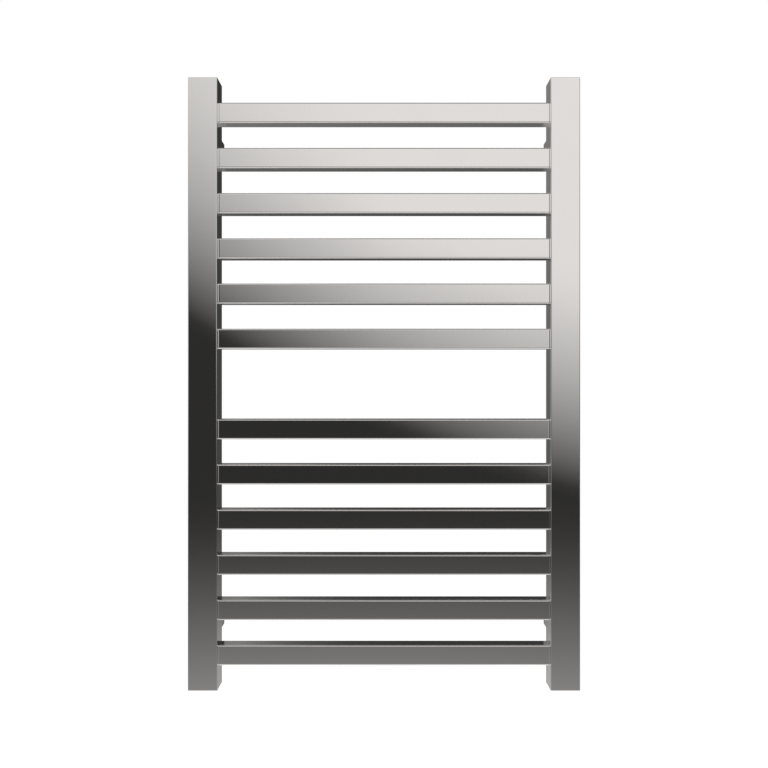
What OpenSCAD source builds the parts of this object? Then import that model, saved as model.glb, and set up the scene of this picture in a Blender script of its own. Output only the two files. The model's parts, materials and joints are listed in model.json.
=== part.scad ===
// Wall-hung electric towel warmer: a ladder of box-section bars welded between two square posts.
// Frame: origin on the wall plane at the centre of the four wall screws, front faces -Y, +Z up.

/* [Ladder] */
// Overall width across the two posts
frame_w = 600; // [520:10:700]
// Distance from the wall to the front faces of posts and bars
projection = 112; // [106:1:130]
// Distance between neighbouring bars, centre to centre
pitch = 69.15; // [66:0.05:76]
// Post length beyond the outer face of the first and last bar
end_margin = 38.6; // [38:0.1:60]

/* [Tubes] */
// Outside size of the post tube
post_size = 45; // [44:1:50]
// Wall thickness of the post tube
post_wall = 1.5; // [1.2:0.1:2]
// Corner radius of the post tube
post_corner = 2; // [1.8:0.1:3]
// Height of the bar tube
bar_h = 31; // [25:0.5:32]
// Depth of the bar tube, front to back
bar_d = 28.5; // [25:0.5:32]
// Wall thickness of the bar tube
bar_wall = 1.2; // [1:0.1:1.5]
// Corner radius of the bar tube
bar_corner = 2.4; // [2:0.1:3]
// Outside size of the standoff tube
standoff_size = 30; // [28:1:32]
// Wall thickness of the standoff tube
standoff_wall = 1.5; // [1.5:0.1:2]
// Corner radius of the standoff tube
standoff_corner = 2.4; // [2.2:0.1:3]
// Thickness of the plate that closes a post
cap_t = 2; // [1.5:0.1:3]

/* [Wall fixing] */
// Depth of the bracket cup that the standoff slides over
bracket_depth = 25; // [20:1:30]
// Wall thickness of the bracket cup
bracket_wall = 2; // [1.5:0.1:2.5]
// Thickness of the bracket's plate against the wall
bracket_plate = 3; // [2:0.5:4]
// Gap between bracket and standoff on each side
bracket_gap = 0.15; // [0.1:0.05:0.3]
// Diameter of the wall screw's hole
wall_hole_d = 5.5; // [4.5:0.5:6]
// Thread diameter of the set screw
set_screw_d = 5; // [4:1:5]
// Length of the set screw
set_screw_len = 5; // [4:0.5:6]
// Distance from the wall to the set screw's axis
set_screw_y = 10; // [8:1:14]

/* [Heating circuit] */
// Diameter of the heating cable
cable_d = 5; // [4:0.5:6]
// Bend radius of the heating cable in the posts
cable_bend_r = 20; // [16:1:22]
// Diameter of the holes that the cable passes through
cable_hole_d = 14; // [12:1:16]
// Diameter of an insulated lead
lead_d = 2.6; // [2:0.1:2.8]
// Bend radius of an insulated lead
lead_bend_r = 3.5; // [3:0.1:3.8]
// Diameter of a sleeved splice
splice_d = 7.5; // [7:0.5:9]
// Length of a sleeved splice
splice_len = 20; // [16:1:24]

/* [Switch] */
// Height of the switch body
switch_h = 19; // [18:0.5:20]
// Width of the switch body
switch_w = 13; // [12.5:0.5:14]
// Depth of the switch body behind the post's side face
switch_depth = 16; // [15:0.5:18]
// Rim of the bezel around the body
bezel_rim = 1; // [0.8:0.1:1.5]
// Height of the bezel above the post's side face
bezel_t = 2; // [1.5:0.1:2.2]
// Tilt of the rocker to each side of its middle
rocker_tilt = 8; // [6:1:9]
// Radius of the rocker's pivot pins
pivot_r = 1.2; // [1:0.1:1.3]
// Running clearance around the pivot pins
pivot_gap = 0.05; // [0.03:0.01:0.08]

/* [Hidden] */
$fn = 48;
eps = 0.5;
BARS = 12;
HALF = BARS / 2;
SIDES = ["left", "right"];
ENDS = ["top", "bottom"];

// Places along the ladder
post_x = (frame_w - post_size) / 2;
post_in_x = frame_w / 2 - post_size;
front_y = -projection;
post_y = front_y + post_size / 2;
post_back_y = front_y + post_size;
bar_y = front_y + bar_d / 2;
top_z = HALF * pitch + bar_h / 2 + end_margin;
tube_half = top_z - cap_t;
standoff_z = (HALF - 0.5) * pitch;
low_z = -HALF * pitch;

// Wall bracket
bracket_size = standoff_size - 2 * (standoff_wall + bracket_gap);
bracket_corner = standoff_corner - standoff_wall - bracket_gap;
set_screw_inset = 0.2;
set_screw_tip = 1;
set_socket = 2.5;

// Post end caps
cap_rim = 6;
cap_rim_wall = 1.5;

// Heating cable
turn_x = post_in_x + 27;
splice_x1 = post_in_x - 6;
splice_x0 = splice_x1 - splice_len;

// Switch on the outer side of the right post
side_x = frame_w / 2;
switch_z = 29 - top_z;
switch_gap = 0.1;
pivot_x = side_x + bezel_t - 4;
cavity_depth = 4.8;
cavity_h = 16.3;
cavity_w = 9.4;
rocker_w = 9;
rocker_r = 8;
rocker_end_h = 4;
rocker_mid_h = 2.9;
rocker_skirt = 3;
pin_len = 1.2;
lens_w = 5;
lens_z0 = 2.2;
lens_z1 = 3.8;
lens_t = 0.8;
lens_proud = 0.15;
blade_w = 4.8;
blade_t = 0.8;
blade_out = 8;
blade_in = 2;
blade_z = 6;
back_x = side_x - switch_depth;

// Cable gland in the back of the right post
gland_z = switch_z;
gland_hole_d = 12.6;
gland_thread_d = 12.6;
gland_flange_d = 18;
gland_flange_t = 3;
gland_dome_d = 15;
gland_dome_len = 9;
gland_inner_len = 8;
gland_bore_d = 7;
gland_nut_t = 3;
gland_nut_af = 16;

// Terminal block on the back wall of the right post
block_z = -standoff_z - 5.5;
block_h = 20;
block_w = 30;
block_d = 14;
block_bore_d = 3.4;
block_pole = 9.5;
block_screw_d = 3.2;
block_screw_t = 2.4;
block_back_y = post_back_y - post_wall;
block_y = block_back_y - block_d / 2;
block_top = block_z + block_h / 2;

// Earth stud on the inner wall of the right post
stud_y = block_y;
stud_z = -standoff_z + 49.5;
stud_len = 10;
stud_d = 4;
ring_t = 1;
ring_d = 8;
ring_tail = 10;
ring_tail_w = 3.4;
nut_af = 7;
nut_t = 3.2;

// Thermal cut-out
cutout_x = post_in_x + 9;
cutout_top = low_z - 10;
cutout_len = 22;
cutout_d = 6.4;
cutout_cap = 2;
cutout_cap_d = 4.6;

// Lead routes, from end to end
live_route = [
    [post_x - block_pole, block_y, block_top],
    [post_x - block_pole, block_y, block_top + 13],
    [post_x - block_pole, post_y, block_top + 13],
    [post_x - block_pole, post_y, switch_z + blade_z],
    [back_x - blade_out, post_y, switch_z + blade_z]
];
switched_route = [
    [cutout_x, bar_y, cutout_top - cutout_len],
    [cutout_x, bar_y, cutout_top - cutout_len - 9],
    [cutout_x, post_y, cutout_top - cutout_len - 9],
    [cutout_x, post_y, switch_z - blade_z],
    [back_x - blade_out, post_y, switch_z - blade_z]
];
heater_live_route = [
    [splice_x1, bar_y, low_z],
    [cutout_x, bar_y, low_z],
    [cutout_x, bar_y, cutout_top]
];
neutral_route = [
    [splice_x1, bar_y, -low_z],
    [side_x - 9, bar_y, -low_z],
    [side_x - 9, bar_y, block_top + 17],
    [post_x, bar_y, block_top + 17],
    [post_x, block_y, block_top + 17],
    [post_x, block_y, block_top]
];
earth_route = [
    [post_x + block_pole, block_y, block_top],
    [post_x + block_pole, block_y, block_top + 23],
    [post_in_x + post_wall + 2, stud_y, block_top + 23],
    [post_in_x + post_wall + 2, stud_y, stud_z - ring_tail]
];

// Names and places of what repeats
function bar_name(i) = str("bar_", i < 10 ? "0" : "", i);
function bar_z(i) = i <= HALF ? (HALF + 1 - i) * pitch : (HALF - i) * pitch;
function side_sign(s) = s == "left" ? -1 : 1;
function end_sign(e) = e == "top" ? 1 : -1;

// A frame whose columns are the three given axes, set at a place
function frame_at(x, y, z, p) = [
    [x[0], y[0], z[0], p[0]],
    [x[1], y[1], z[1], p[1]],
    [x[2], y[2], z[2], p[2]],
    [0, 0, 0, 1]
];
function unit(v) = v / norm(v);
function across(u) = unit(cross(u, abs(u[2]) < 0.9 ? [0, 0, 1] : [1, 0, 0]));
function turn_angle(a, b, c) = acos(unit(b - a) * unit(c - b));
function turn_trim(a, b, c, bend_r) = bend_r * tan(turn_angle(a, b, c) / 2);

// Points of the heating cable: it runs to and fro through the bars, from the lowest up
cable_route = concat(
    [[splice_x0, bar_y, bar_z(BARS)]],
    [for (i = [BARS : -1 : 2]) each [
        [(i % 2 == 0 ? -1 : 1) * turn_x, bar_y, bar_z(i)],
        [(i % 2 == 0 ? -1 : 1) * turn_x, bar_y, bar_z(i - 1)]
    ]],
    [[splice_x0, bar_y, bar_z(1)]]
);

// A rectangle with rounded corners
module rounded_box(w, d, r) {
    square([w, d - 2 * r], center = true);
    square([w - 2 * r, d], center = true);
    for (sx = [-1, 1], sy = [-1, 1])
        translate([sx * (w / 2 - r), sy * (d / 2 - r)])
            circle(r);
}

// A box-section tube along Z, centred on its length
module box_tube(w, d, wall, r, len) {
    linear_extrude(len, center = true)
        difference() {
            rounded_box(w, d, r);
            rounded_box(w - 2 * wall, d - 2 * wall, r - wall);
        }
}

// A round wire through a list of points, with each corner bent to the same radius
module bent_wire(pts, r, bend_r) {
    last = len(pts) - 1;
    for (i = [0 : last - 1]) {
        u = unit(pts[i + 1] - pts[i]);
        cut0 = i == 0 ? 0 : turn_trim(pts[i - 1], pts[i], pts[i + 1], bend_r);
        cut1 = i == last - 1 ? 0 : turn_trim(pts[i], pts[i + 1], pts[i + 2], bend_r);
        straight = norm(pts[i + 1] - pts[i]) - cut0 - cut1;
        side = across(u);
        multmatrix(frame_at(side, cross(u, side), u, pts[i] + cut0 * u))
            cylinder(h = straight, r = r);
    }
    for (i = [1 : last - 1])
        wire_bend(pts[i - 1], pts[i], pts[i + 1], r, bend_r);
}

// One bend of a wire: an arc from the line a-b to the line b-c
module wire_bend(a, b, c, r, bend_r) {
    u = unit(b - a);
    v = unit(c - b);
    inward = unit(v - (u * v) * u);
    start = b - turn_trim(a, b, c, bend_r) * u;
    multmatrix(frame_at(-inward, u, cross(-inward, u), start + bend_r * inward))
        rotate_extrude(angle = turn_angle(a, b, c))
            translate([bend_r, 0])
                circle(r);
}

// Upright post: the inner wall has a cable hole behind each bar
module post(side) {
    sign = side_sign(side);
    color("#d3d2d0")
        difference() {
            translate([sign * post_x, post_y, 0])
                box_tube(post_size, post_size, post_wall, post_corner, 2 * tube_half);
            for (i = [1 : BARS])
                translate([sign * (post_in_x + post_wall / 2), bar_y, bar_z(i)])
                    rotate([0, 90, 0])
                        cylinder(h = post_wall + 2 * eps, d = cable_hole_d, center = true);
            if (side == "right") {
                switch_cutout();
                gland_cutout();
            }
        }
}

// Opening in the outer wall of the right post for the switch body
module switch_cutout() {
    translate([side_x - post_wall / 2, post_y, switch_z])
        cube([post_wall + 2 * eps, switch_w + 2 * switch_gap, switch_h + 2 * switch_gap], center = true);
}

// Hole in the back wall of the right post for the cable gland
module gland_cutout() {
    translate([post_x, post_back_y + eps, gland_z])
        rotate([90, 0, 0])
            cylinder(h = post_wall + 2 * eps, d = gland_hole_d);
}

// Cross bar, welded between the posts with its front face flush with theirs
module bar(i) {
    color("#cfcecc")
        translate([0, bar_y, bar_z(i)])
            rotate([0, 90, 0])
                box_tube(bar_h, bar_d, bar_wall, bar_corner, 2 * post_in_x);
}

// Plate that closes one end of a post, with a rim that locates it inside the tube
module post_cap(end, side) {
    inner = post_size - 2 * post_wall;
    color("#dad9d7")
        translate([side_sign(side) * post_x, post_y, 0])
            mirror([0, 0, end == "top" ? 0 : 1]) {
                translate([0, 0, tube_half])
                    linear_extrude(cap_t)
                        rounded_box(post_size, post_size, post_corner);
                translate([0, 0, tube_half - cap_rim / 2])
                    box_tube(inner, inner, cap_rim_wall, post_corner - post_wall + 1, cap_rim);
            }
}

// Square stub that holds a post off the wall, tapped underneath for the set screw
module standoff(end, side) {
    len = -post_back_y;
    color("#c9c8c6")
        translate([side_sign(side) * post_x, 0, end_sign(end) * standoff_z])
            difference() {
                translate([0, -len / 2, 0])
                    rotate([90, 0, 0])
                        box_tube(standoff_size, standoff_size, standoff_wall, standoff_corner, len);
                translate([0, -set_screw_y, -standoff_size / 2 - eps])
                    cylinder(h = standoff_wall + 2 * eps, d = set_screw_d);
            }
}

// Cup screwed to the wall inside a standoff
module wall_bracket(end, side) {
    inner = bracket_size - 2 * bracket_wall;
    color("#8f9294")
        translate([side_sign(side) * post_x, 0, end_sign(end) * standoff_z])
            difference() {
                rotate([90, 0, 0])
                    linear_extrude(bracket_depth)
                        rounded_box(bracket_size, bracket_size, bracket_corner);
                translate([-inner / 2, -bracket_depth - eps, -inner / 2])
                    cube([inner, bracket_depth + eps - bracket_plate, inner]);
                rotate([90, 0, 0])
                    translate([0, 0, -eps])
                        cylinder(h = bracket_plate + 2 * eps, d = wall_hole_d);
                translate([0, -set_screw_y, -bracket_size / 2 - eps])
                    cylinder(h = bracket_wall + 2 * eps, d = set_screw_d + 0.6);
            }
}

// Cone-ended set screws that lock the standoffs on their brackets
module set_screws() {
    r = set_screw_d / 2;
    color("#55585a")
        for (e = ENDS, s = SIDES)
            translate([
                side_sign(s) * post_x,
                -set_screw_y,
                end_sign(e) * standoff_z - standoff_size / 2 + set_screw_inset
            ])
                difference() {
                    union() {
                        cylinder(h = set_screw_len - set_screw_tip, r = r);
                        translate([0, 0, set_screw_len - set_screw_tip])
                            cylinder(h = set_screw_tip, r1 = r, r2 = r - set_screw_tip);
                    }
                    translate([0, 0, -eps])
                        cylinder(h = set_socket + eps, d = set_socket / cos(30), $fn = 6);
                }
}

// One heating cable through all the bars
module heating_cable() {
    color("#b5472f")
        bent_wire(cable_route, cable_d / 2, cable_bend_r);
}

// Sleeved splices between the heating cable's two ends and the cold leads
module cable_splices() {
    color("#2d2d2e")
        for (i = [1, BARS])
            translate([splice_x0, bar_y, bar_z(i)])
                rotate([0, 90, 0])
                    cylinder(h = splice_len, d = splice_d);
}

// Thermal cut-out can in the live side of the cable
module thermal_cutout() {
    color("#b9bcbe")
        translate([cutout_x, bar_y, cutout_top - cutout_len + cutout_cap])
            cylinder(h = cutout_len - 2 * cutout_cap, d = cutout_d);
}

// Resin seals at the two ends of the cut-out can
module cutout_end_seals() {
    color("#7c3b2c")
        for (z = [cutout_top - cutout_len, cutout_top - cutout_cap])
            translate([cutout_x, bar_y, z])
                cylinder(h = cutout_cap, d = cutout_cap_d);
}

// Three-pole block: each pole has a wire bore through it and a screw hole in front
module terminal_block() {
    color("#e9e6de")
        translate([post_x, block_y, block_z])
            difference() {
                cube([block_w, block_d, block_h], center = true);
                for (k = [-1 : 1])
                    translate([k * block_pole, 0, 0]) {
                        cylinder(h = block_h + 2 * eps, d = block_bore_d, center = true);
                        rotate([90, 0, 0])
                            cylinder(h = block_d / 2 + eps, d = block_screw_d);
                    }
                for (k = [-1, 1])
                    translate([k * block_pole / 2, -block_d / 2, 0])
                        cube([1, 5, block_h + 2 * eps], center = true);
            }
}

// Clamping screws of the terminal block
module terminal_screws() {
    color("#c8a04a")
        for (k = [-1 : 1])
            translate([post_x + k * block_pole, block_y - block_d / 2 + 1, block_z])
                rotate([-90, 0, 0])
                    difference() {
                        cylinder(h = block_screw_t, d = block_screw_d);
                        translate([0, 0, 0])
                            cube([block_screw_d + eps, 0.6, 1.2], center = true);
                    }
}

// Earth stud welded to the inner wall of the right post
module earth_stud() {
    color("#b9bcbe")
        translate([post_in_x + post_wall, stud_y, stud_z])
            rotate([0, 90, 0])
                cylinder(h = stud_len, d = stud_d);
}

// Ring terminal crimped on the earth lead
module earth_ring() {
    color("#c8a04a")
        translate([post_in_x + post_wall, stud_y, stud_z])
            difference() {
                union() {
                    rotate([0, 90, 0])
                        cylinder(h = ring_t, d = ring_d);
                    translate([0, -ring_tail_w / 2, -ring_tail])
                        cube([ring_t, ring_tail_w, ring_tail]);
                    translate([0, -ring_tail_w / 2, -ring_tail])
                        cube([ring_tail_w, ring_tail_w, ring_tail / 2 - 0.5]);
                }
                rotate([0, 90, 0])
                    translate([0, 0, -eps])
                        cylinder(h = ring_t + 2 * eps, d = stud_d);
            }
}

// Hexagon nut on the earth stud
module earth_nut() {
    color("#b9bcbe")
        translate([post_in_x + post_wall + ring_t, stud_y, stud_z])
            rotate([0, 90, 0])
                difference() {
                    cylinder(h = nut_t, d = nut_af / cos(30), $fn = 6);
                    translate([0, 0, -eps])
                        cylinder(h = nut_t + 2 * eps, d = stud_d);
                }
}

// Cable gland: a flange and a dome outside the post, a threaded neck inside
module gland_body() {
    color("#2b2b2c")
        translate([post_x, post_back_y, gland_z])
            rotate([-90, 0, 0])
                difference() {
                    union() {
                        translate([0, 0, -gland_inner_len])
                            cylinder(h = gland_inner_len, d = gland_thread_d);
                        cylinder(h = gland_flange_t, d = gland_flange_d);
                        translate([0, 0, gland_flange_t])
                            cylinder(h = gland_dome_len, d1 = gland_dome_d, d2 = gland_dome_d - 4);
                    }
                    translate([0, 0, -gland_inner_len - eps])
                        cylinder(
                            h = gland_inner_len + gland_flange_t + gland_dome_len + 2 * eps,
                            d = gland_bore_d
                        );
                }
}

// Locknut of the gland, against the inside of the post's back wall
module gland_locknut() {
    color("#3a3a3b")
        translate([post_x, post_back_y - post_wall, gland_z])
            rotate([90, 0, 0])
                difference() {
                    cylinder(h = gland_nut_t, d = gland_nut_af / cos(30), $fn = 6);
                    translate([0, 0, -eps])
                        cylinder(h = gland_nut_t + 2 * eps, d = gland_thread_d);
                }
}

// Switch body and bezel, with the rocker's well and pivot bores
module switch_housing() {
    color("#1c1c1d")
        translate([0, post_y, switch_z])
            difference() {
                union() {
                    translate([back_x, -switch_w / 2, -switch_h / 2])
                        cube([switch_depth, switch_w, switch_h]);
                    translate([side_x, -switch_w / 2 - bezel_rim, -switch_h / 2 - bezel_rim])
                        cube([bezel_t, switch_w + 2 * bezel_rim, switch_h + 2 * bezel_rim]);
                }
                translate([pivot_x - cavity_depth, -cavity_w / 2, -cavity_h / 2])
                    cube([cavity_depth + 4 + eps, cavity_w, cavity_h]);
                translate([pivot_x, 0, 0])
                    rotate([90, 0, 0])
                        cylinder(h = cavity_w + 2 * pin_len + 0.4, r = pivot_r + pivot_gap, center = true);
                for (s = [-1, 1])
                    translate([back_x - eps, -blade_w / 2, s * blade_z - blade_t / 2])
                        cube([blade_in + eps, blade_w, blade_t]);
            }
}

// Two push-on blades at the back of the switch
module switch_blades() {
    color("#c8a04a")
        for (s = [-1, 1])
            translate([back_x - blade_out, post_y - blade_w / 2, switch_z + s * blade_z - blade_t / 2])
                cube([blade_out + blade_in, blade_w, blade_t]);
}

// Outline of the rocker, seen along its pivot: x is height above the pivot, y is up the switch
module rocker_outline() {
    intersection() {
        circle(rocker_r);
        polygon([
            [-rocker_skirt, -rocker_r],
            [rocker_end_h, -rocker_r],
            [rocker_mid_h, 0],
            [rocker_end_h, rocker_r],
            [-rocker_skirt, rocker_r]
        ]);
    }
}

// Places something in the rocker's own frame, tilted to its off position
module on_rocker() {
    translate([pivot_x, post_y, switch_z])
        rotate([0, rocker_tilt, 0])
            rotate([90, 0, 0])
                children();
}

// Seat of the indicator lens in the rocker's upper half
module lens_seat(depth, proud) {
    slope = atan((rocker_end_h - rocker_mid_h) / rocker_r);
    translate([rocker_mid_h, 0, 0])
        rotate([0, 0, -slope])
            translate([-depth, lens_z0, -lens_w / 2])
                cube([depth + proud, lens_z1 - lens_z0, lens_w]);
}

// Rocker of the switch with its two pivot pins
module switch_rocker() {
    color("#242425")
        on_rocker() {
            difference() {
                linear_extrude(rocker_w, center = true)
                    rocker_outline();
                lens_seat(lens_t, 1);
            }
            for (s = [-1, 1])
                translate([0, 0, s * (rocker_w + pin_len) / 2])
                    cylinder(h = pin_len, r = pivot_r, center = true);
        }
}

// Indicator lens that glows when the warmer is on
module switch_lens() {
    color("#c9541e")
        on_rocker()
            lens_seat(lens_t, lens_proud);
}

// An insulated lead in its own colour
module lead(route, shade) {
    color(shade)
        bent_wire(route, lead_d / 2, lead_bend_r);
}

for (s = SIDES) {
    post(s);
}
for (i = [1 : BARS]) {
    bar(i);
}
for (e = ENDS, s = SIDES) {
    post_cap(e, s);
    standoff(e, s);
    wall_bracket(e, s);
}
set_screws();
heating_cable();
cable_splices();
thermal_cutout();
cutout_end_seals();
terminal_block();
terminal_screws();
earth_stud();
earth_ring();
earth_nut();
gland_body();
gland_locknut();
switch_housing();
switch_blades();
switch_rocker();
switch_lens();
lead(live_route, "#6b3f26");  // lead_live
lead(switched_route, "#6b3f26");  // lead_switched
lead(heater_live_route, "#6b3f26");  // lead_heater_live
lead(neutral_route, "#2f5f9e");  // lead_neutral
lead(earth_route, "#5f9a3a");  // lead_earth
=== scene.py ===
"""Looks of a wall-hung towel warmer, a ladder of square steel tubes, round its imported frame."""
import json
import math

import bmesh
import bpy
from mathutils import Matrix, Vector


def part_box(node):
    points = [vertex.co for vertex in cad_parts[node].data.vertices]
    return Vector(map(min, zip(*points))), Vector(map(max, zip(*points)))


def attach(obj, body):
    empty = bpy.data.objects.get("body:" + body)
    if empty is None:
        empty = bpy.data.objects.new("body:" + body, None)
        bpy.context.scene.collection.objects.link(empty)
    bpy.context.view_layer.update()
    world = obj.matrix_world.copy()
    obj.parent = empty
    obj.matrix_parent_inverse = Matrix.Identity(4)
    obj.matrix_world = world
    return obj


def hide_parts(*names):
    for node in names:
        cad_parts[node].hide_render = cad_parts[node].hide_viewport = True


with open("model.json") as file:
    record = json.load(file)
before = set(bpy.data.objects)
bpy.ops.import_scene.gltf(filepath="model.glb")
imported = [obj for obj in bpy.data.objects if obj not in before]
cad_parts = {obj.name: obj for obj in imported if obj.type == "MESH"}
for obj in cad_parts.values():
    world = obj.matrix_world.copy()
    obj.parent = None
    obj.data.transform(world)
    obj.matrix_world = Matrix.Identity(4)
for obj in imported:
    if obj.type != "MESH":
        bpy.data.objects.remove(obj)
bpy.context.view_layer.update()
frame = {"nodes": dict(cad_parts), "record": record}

MM = 0.001
X, Y, Z = 0, 1, 2
ENDS = ("top", "bottom")
SIDES = ("left", "right")
BAR_NAMES = [f"bar_{number:02d}" for number in range(1, 13)]
STANDOFF_NAMES = [f"standoff_{end}_{side}" for end in ENDS for side in SIDES]
BRACKET_NAMES = [f"wall_bracket_{end}_{side}" for end in ENDS for side in SIDES]

# How finely round shapes are drawn
ROUND_STEPS = 8
HOLE_SIDES, ROD_SIDES, DRUM_SIDES = 32, 48, 96
# Edges that turn by less than this are shaded smooth
SMOOTH_BELOW = math.radians(38)
# How far a cutting tool reaches past what it cuts
CUT_PAST = 3 * MM


# ---------------------------------------------------------------- working a mesh

def only(piece):
    """Makes one piece the only selected one, and the active one."""
    bpy.ops.object.select_all(action="DESELECT")
    piece.select_set(True)
    bpy.context.view_layer.objects.active = piece


def settle(piece):
    """Puts a piece's place, turn and size into its mesh."""
    only(piece)
    bpy.ops.object.transform_apply(location=True, rotation=True, scale=True)


def new_block(name, low, high):
    """A block between two corners."""
    low, high = Vector(low), Vector(high)
    bpy.ops.object.select_all(action="DESELECT")
    bpy.ops.mesh.primitive_cube_add(size=1, location=(low + high) / 2)
    block = bpy.context.object
    block.name = block.data.name = name
    block.scale = high - low
    settle(block)
    return block


def block_along_x(name, start, end, middle, width, height):
    """A block from start to end along X, with its width along Y and its height about a middle."""
    half = Vector((0, width / 2, height / 2))
    low, high = middle - half, middle + half
    low.x, high.x = start, end
    return new_block(name, low, high)


def new_rod(name, start, axis, length, radius, sides=ROD_SIDES):
    """A round rod that runs from start along one axis."""
    turn = {X: (0, math.radians(90), 0), Y: (math.radians(-90), 0, 0), Z: (0, 0, 0)}[axis]
    middle = Vector(start)
    middle[axis] += length / 2
    bpy.ops.object.select_all(action="DESELECT")
    bpy.ops.mesh.primitive_cylinder_add(vertices=sides, radius=radius, depth=length,
                                        location=middle, rotation=turn)
    rod = bpy.context.object
    rod.name = rod.data.name = name
    settle(rod)
    return rod


def hole_through(spot, axis, radius, sides=HOLE_SIDES):
    """A round tool that cuts a hole through the wall at a spot."""
    start = Vector(spot)
    start[axis] -= CUT_PAST
    return new_rod("hole", start, axis, 2 * CUT_PAST, radius, sides)


def choose(piece, kind, wanted):
    """Opens a piece for editing, with only the wanted corners, edges or faces selected."""
    only(piece)
    bpy.ops.object.mode_set(mode="EDIT")
    bpy.ops.mesh.select_mode(type=kind)
    bpy.ops.mesh.select_all(action="DESELECT")
    mesh = bmesh.from_edit_mesh(piece.data)
    for part in {"VERT": mesh.verts, "EDGE": mesh.edges, "FACE": mesh.faces}[kind]:
        if wanted(part):
            part.select_set(True)
    bmesh.update_edit_mesh(piece.data)


def close():
    """Ends the editing of a piece."""
    bpy.ops.object.mode_set(mode="OBJECT")


def middle_of(edge):
    """The place halfway along an edge."""
    return (edge.verts[0].co + edge.verts[1].co) / 2


def runs_along(edge, axis):
    """Whether an edge is parallel to an axis."""
    run = edge.verts[1].co - edge.verts[0].co
    return abs(run[axis]) > 0.999 * run.length


def faces_along(face, axis, way=0):
    """Whether a face looks along an axis: one way, the other way, or either when way is 0."""
    look = face.normal[axis]
    return (abs(look) if way == 0 else look * way) > 0.999


def near(a, b, gap=0.02 * MM):
    """Whether two lengths are the same within a small gap."""
    return abs(a - b) < gap


def round_chosen(radius, steps=ROUND_STEPS):
    """Rounds the chosen edges to a radius, and ends the editing."""
    bpy.ops.mesh.bevel(offset=radius, offset_type="OFFSET", segments=steps, profile=0.5,
                       affect="EDGES")
    close()


def round_along(piece, axis, radius, steps=ROUND_STEPS):
    """Rounds a piece's edges that run along an axis."""
    choose(piece, "EDGE", lambda edge: runs_along(edge, axis))
    round_chosen(radius, steps)


def push(move):
    """Extrudes what is chosen by a move."""
    bpy.ops.mesh.extrude_region_move(TRANSFORM_OT_translate={"value": move})


def slice_at(piece, spot, look, trim=False):
    """Cuts a piece along a plane. Trimmed, it loses the side the plane looks to, and is closed."""
    choose(piece, "FACE", lambda face: True)
    bpy.ops.mesh.bisect(plane_co=spot, plane_no=look, use_fill=trim, clear_outer=trim)
    close()


def wall_inwards(piece, thickness):
    """Gives an open skin its wall, to the inside."""
    only(piece)
    wall = piece.modifiers.new("wall", "SOLIDIFY")
    wall.thickness = thickness
    wall.offset = -1
    wall.use_even_offset = True
    bpy.ops.object.modifier_apply(modifier=wall.name)


def combine(piece, tools, operation="DIFFERENCE"):
    """Cuts tools out of a piece, or welds them to it. The tools are used up."""
    for tool in tools:
        only(piece)
        work = piece.modifiers.new("work", "BOOLEAN")
        work.operation = operation
        work.solver = "EXACT"
        work.object = tool
        bpy.ops.object.modifier_apply(modifier=work.name)
        bpy.data.objects.remove(tool)


def polish_flats(piece):
    """Smooth roundings beside flat faces that stay truly flat, as a mirror finish needs."""
    only(piece)
    bpy.ops.object.shade_smooth_by_angle(angle=SMOOTH_BELOW, keep_sharp_edges=False)
    flats = piece.modifiers.new("flats", "WEIGHTED_NORMAL")
    flats.keep_sharp = True
    flats.weight = 100
    bpy.ops.object.modifier_apply(modifier=flats.name)


def copy_of(piece, name, move):
    """A copy of a piece with a mesh of its own, moved."""
    only(piece)
    bpy.ops.object.duplicate()
    twin = bpy.context.object
    twin.name = twin.data.name = name
    twin.location = move
    settle(twin)
    return twin


def place_copies(first, nodes, ending):
    """Copies a piece to each other node of its kind, and gives all of them in turn."""
    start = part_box(nodes[0])[0]
    return [first] + [copy_of(first, f"{node}_{ending}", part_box(node)[0] - start)
                      for node in nodes[1:]]


def turn_about(piece, degrees, centre):
    """Tips a piece about a line along Y through a centre: its upper half goes to +X."""
    choose(piece, "VERT", lambda corner: True)
    bpy.ops.transform.rotate(value=-math.radians(degrees), orient_axis="Y", center_override=centre)
    close()


# ---------------------------------------------------------------- working a shader

def link(tree, source, socket):
    """Joins a source to a socket, or sets the socket when the source is a plain value."""
    if isinstance(source, bpy.types.NodeSocket):
        tree.links.new(source, socket)
    else:
        socket.default_value = source


def calc(tree, operation, *values):
    """A math node's result."""
    node = tree.nodes.new("ShaderNodeMath")
    node.operation = operation
    for value, socket in zip(values, node.inputs):
        link(tree, value, socket)
    return node.outputs[0]


def spread(tree, value, low, high, to_low=0.0, to_high=1.0, smooth=False):
    """A value's range, laid over another range and held at its ends."""
    node = tree.nodes.new("ShaderNodeMapRange")
    node.interpolation_type = "SMOOTHSTEP" if smooth else "LINEAR"
    for name, source in (("Value", value), ("From Min", low), ("From Max", high),
                         ("To Min", to_low), ("To Max", to_high)):
        link(tree, source, node.inputs[name])
    return node.outputs["Result"]


def blend_of(tree, share, first, second):
    """A mix of two numbers."""
    node = tree.nodes.new("ShaderNodeMix")
    node.data_type = "FLOAT"
    for name, source in (("Factor", share), ("A", first), ("B", second)):
        link(tree, source, [s for s in node.inputs if s.name == name and s.type == "VALUE"][0])
    return node.outputs[0]


def colour_blend(tree, share, first, second):
    """A mix of two colours, each a socket or a plain red, green and blue."""
    node = tree.nodes.new("ShaderNodeMix")
    node.data_type = "RGBA"
    link(tree, share, node.inputs[0])
    for socket, source in ((node.inputs[6], first), (node.inputs[7], second)):
        link(tree, source if isinstance(source, bpy.types.NodeSocket) else (*source, 1), socket)
    return node.outputs[2]


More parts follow.
